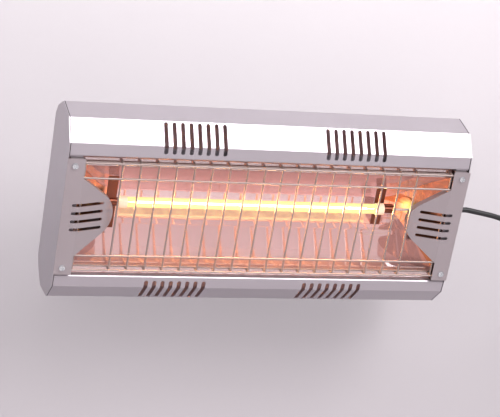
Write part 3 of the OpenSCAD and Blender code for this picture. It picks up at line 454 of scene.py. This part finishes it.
feed(tree, shader.inputs["Alpha"], ramp(tree, coat, 0, 1, clear_cover, coat_cover))
finish_nodes(quartz, "quartz_tube")
glow = bpy.data.materials.new("glow")
glow.use_nodes = True
glow.node_tree.nodes["Principled BSDF"].inputs["Base Color"].default_value = (0.2, 0.1, 0.05, 1)
lamp_and_painted_glow(glow, (1, 0.45, 0.15), 60)
seat, lead_in, bare_end, wire_r, turn_r, pitch, turn_steps = 0.006, 0.001, 0.01, 0.00022, 0.00108, 0.0013, 10
glow_from, glow_to = tube_low[0] + seat + bare_end, tube_high[0] - seat - bare_end
glow_points = round((glow_to - glow_from) / pitch) * turn_steps


def around_axis(x, r, turns):
    a = 2 * math.pi * turns
    return (x, axis_y + r * math.cos(a), axis_z + r * math.sin(a))


def lamp_wire(name, points, radius, material):
    wire = round_wire(name, points, radius, 1)
    wire.data.materials.append(material)
    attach(wire, "heater")
    return wire


helix = [(tube_low[0] + seat + lead_in, axis_y, axis_z)]
helix += [around_axis(glow_from + (glow_to - glow_from) * i / glow_points, turn_r, i / turn_steps)
          for i in range(glow_points + 1)]
helix.append((tube_high[0] - seat - lead_in, axis_y, axis_z))
filament = lamp_wire("filament_coil", helix, wire_r, glow)
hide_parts("filament")
# Painted light: the support rings' emission stands in for the filament's light on them.
support = plain_finish("support", (0.3, 0.2, 0.12), 0.4, metallic=1)
lamp_and_painted_glow(support, (1, 0.4, 0.12), 1.5)
support_r, support_wire_r, support_rise, support_end = 0.0041, 0.00014, 0.0012, 0.0014
ring_points, ring_turn = 36, 24
for i in range(-3, 4):
    middle = (glow_from + glow_to) / 2 + i * (glow_to - glow_from) / 7
    ring = [around_axis(middle + support_rise * k / ring_points, support_r, k / ring_turn)
            for k in range(ring_points + 1)]
    ring.append((middle + support_end, axis_y + turn_r, axis_z))
    lamp_wire(f"filament_support_{i + 4}", ring, support_wire_r, support)
cap_ceramic = plain_finish("cap_ceramic", (0.85, 0.72, 0.6), 0.6, grain=1200, depth=0.00004)
finish_nodes(cap_ceramic, "terminal_block")
# Painted light: the lamp caps get a copy of the ceramic whose emission stands in for the lamp's light on them.
painted_lit_ceramic = plain_finish("painted_lit_ceramic", (0.85, 0.72, 0.6), 0.5, grain=1200, depth=0.00004)
lamp_and_painted_glow(painted_lit_ceramic, (1, 0.72, 0.4), 0.4)
finish_nodes(painted_lit_ceramic, "lamp_cap_left", "lamp_cap_right")
strap_steel = plain_finish("strap_steel", (0.22, 0.08, 0.05), 0.32, metallic=1)
finish_nodes(strap_steel, "lamp_holder_left", "lamp_holder_right")

# Wiring: two glass-sleeved lamp leads run behind the trough to a ceramic terminal block, where brass screws clamp
# them to the mains lead's cores. The third core goes to the earth screw.
sleeve = plain_finish("sleeve", (0.75, 0.72, 0.65), 0.8, grain=2500, depth=0.0001)
finish_nodes(sleeve, "lamp_lead_left", "lamp_lead_right")
core_skin = plain_finish("core_skin", (0.25, 0.35, 0.1), 0.45)
finish_nodes(core_skin, "supply_cores", "earth_lead")
brass = plain_finish("brass", (0.75, 0.55, 0.22), 0.3, metallic=1)
finish_nodes(brass, "terminal_screws")

# Mount: a zinc-plated steel yoke on the case's back hangs on two bolts in a folded wall bracket. Fibre washers between
# them give the tilt its friction, and two lobed knobs clamp it.
zinc = plain_finish("zinc", (0.6, 0.61, 0.62), 0.3, metallic=1, grain=500, stretch=(0.1, 1, 1))
finish_nodes(zinc, "wall_bracket", "yoke", "yoke_screws", "pivot_bolts", "knob_washers", "back_screws",
             "reflector_rivets", "earth_screw")
knob_moulding = plain_finish("knob_moulding", (0.02, 0.02, 0.022), 0.5, grain=1500, depth=0.00005)
finish_nodes(knob_moulding, "tilt_knob_left", "tilt_knob_right", "gland_nut")
fibre = plain_finish("fibre", (0.7, 0.66, 0.55), 0.8)
finish_nodes(fibre, "friction_washers")

# Studio: a pale wall that carries the heater and is clear from behind, a pale floor 1.2 m below, and soft lights in
# front and above. The wall has two lights of its own, and the guard catches the lamp's light.
wall_y, floor_z, half_w, wall_top, floor_front = 0.0006, -1.2, 4, 3, -6


def stage_sheet(name, corners, material):
    mesh = bpy.data.meshes.new(name)
    bm = bmesh.new()
    bm.faces.new([bm.verts.new(c) for c in corners])
    bm.to_mesh(mesh)
    bm.free()
    mesh.materials.append(material)
    piece = bpy.data.objects.new(name, mesh)
    scene.collection.objects.link(piece)
    return piece


wall_paint = plain_finish("wall_paint", (0.36, 0.336, 0.353), 0.7, mottle=0.015, patches=3, grain=300)
tree = wall_paint.node_tree
one_sided = add_node(tree, "MixShader", {"Fac": add_node(tree, "NewGeometry").outputs["Backfacing"],
                                         1: tree.nodes["Principled BSDF"].outputs["BSDF"],
                                         2: add_node(tree, "BsdfTransparent").outputs["BSDF"]})
feed(tree, tree.nodes["Material Output"].inputs["Surface"], one_sided.outputs["Shader"])
wall = stage_sheet("wall", [(-half_w, wall_y, floor_z), (half_w, wall_y, floor_z), (half_w, wall_y, wall_top),
                            (-half_w, wall_y, wall_top)], wall_paint)
floor_paint = plain_finish("floor_paint", (0.75, 0.72, 0.73), 0.7, mottle=0.01, patches=3)
stage_sheet("floor", [(-half_w, floor_front, floor_z), (half_w, floor_front, floor_z), (half_w, 0, floor_z),
                      (-half_w, 0, floor_z)], floor_paint)


def soft_light(name, place, aim, size, power, colour=(1, 1, 1)):
    data = bpy.data.lights.new(name, "AREA")
    data.shape = "RECTANGLE"
    data.size, data.size_y = size
    data.energy = power
    data.color = colour
    light = bpy.data.objects.new(name, data)
    light.location = place
    light.rotation_mode = "QUATERNION"
    light.rotation_quaternion = (Vector(aim) - Vector(place)).to_track_quat("-Z", "Y")
    scene.collection.objects.link(light)
    return light


def link_light(light, role, members, left_out=False):
    """Lets a light reach only some pieces (receiver) or be shadowed only by them (blocker), or all but these."""
    group = bpy.data.collections.new(f"{light.name}_{role}")
    for member in members:
        group.objects.link(member)
    for link in group.collection_objects:
        link.light_linking.link_state = "EXCLUDE" if left_out else "INCLUDE"
    setattr(light.light_linking, f"{role}_collection", group)


heater_mid = (0, -0.1, 0)
near_white = (1, 0.97, 0.98)
cord_pieces = [mains_lead, nodes["plug_body"]]
key = soft_light("key", (0.85, -2.3, 1.15), heater_mid, (1.6, 0.9), 68, near_white)
link_light(key, "receiver", [mirror_trough, *cheeks, wall], left_out=True)
link_light(key, "blocker", cord_pieces, left_out=True)
soft_light("fill", (-1.8, -2.2, 0.4), heater_mid, (1.6, 1.6), 14, (1, 0.95, 0.98))
wall_key = soft_light("wall_key", (1.4, -1.6, 1.2), heater_mid, (1.6, 1.2), 42, near_white)
link_light(wall_key, "receiver", [wall])
link_light(wall_key, "blocker", cord_pieces, left_out=True)
wash = soft_light("wall_wash", (0.12, -0.95, 0.95), (0.1, 0, 0.35), (1.6, 0.4), 34)
link_light(wash, "receiver", [wall])
link_light(wash, "blocker", [wall])
before_tube = lamp_axis - backwards * 0.007
lamp_glow = soft_light("lamp_glow", before_tube, lamp_axis - backwards, (0.3, 0.006), 1.2, (1, 0.42, 0.14))
lamp_glow.visible_camera = False
link_light(lamp_glow, "receiver", [nodes["wire_guard"]])
link_light(lamp_glow, "blocker", [nodes["wire_guard"]])
world = bpy.data.worlds.new("room")
world.use_nodes = True
tree = world.node_tree
backdrop = tree.nodes["Background"]
backdrop.inputs["Color"].default_value = (0.86, 0.8, 0.84, 1)
sky = add_node(tree, "SeparateXYZ", {"Vector": add_node(tree, "TexCoord").outputs["Generated"]}).outputs["Z"]
feed(tree, backdrop.inputs["Strength"], ramp(tree, sky, -0.6, 0.8, 0.34, 0.7))
scene.world = world
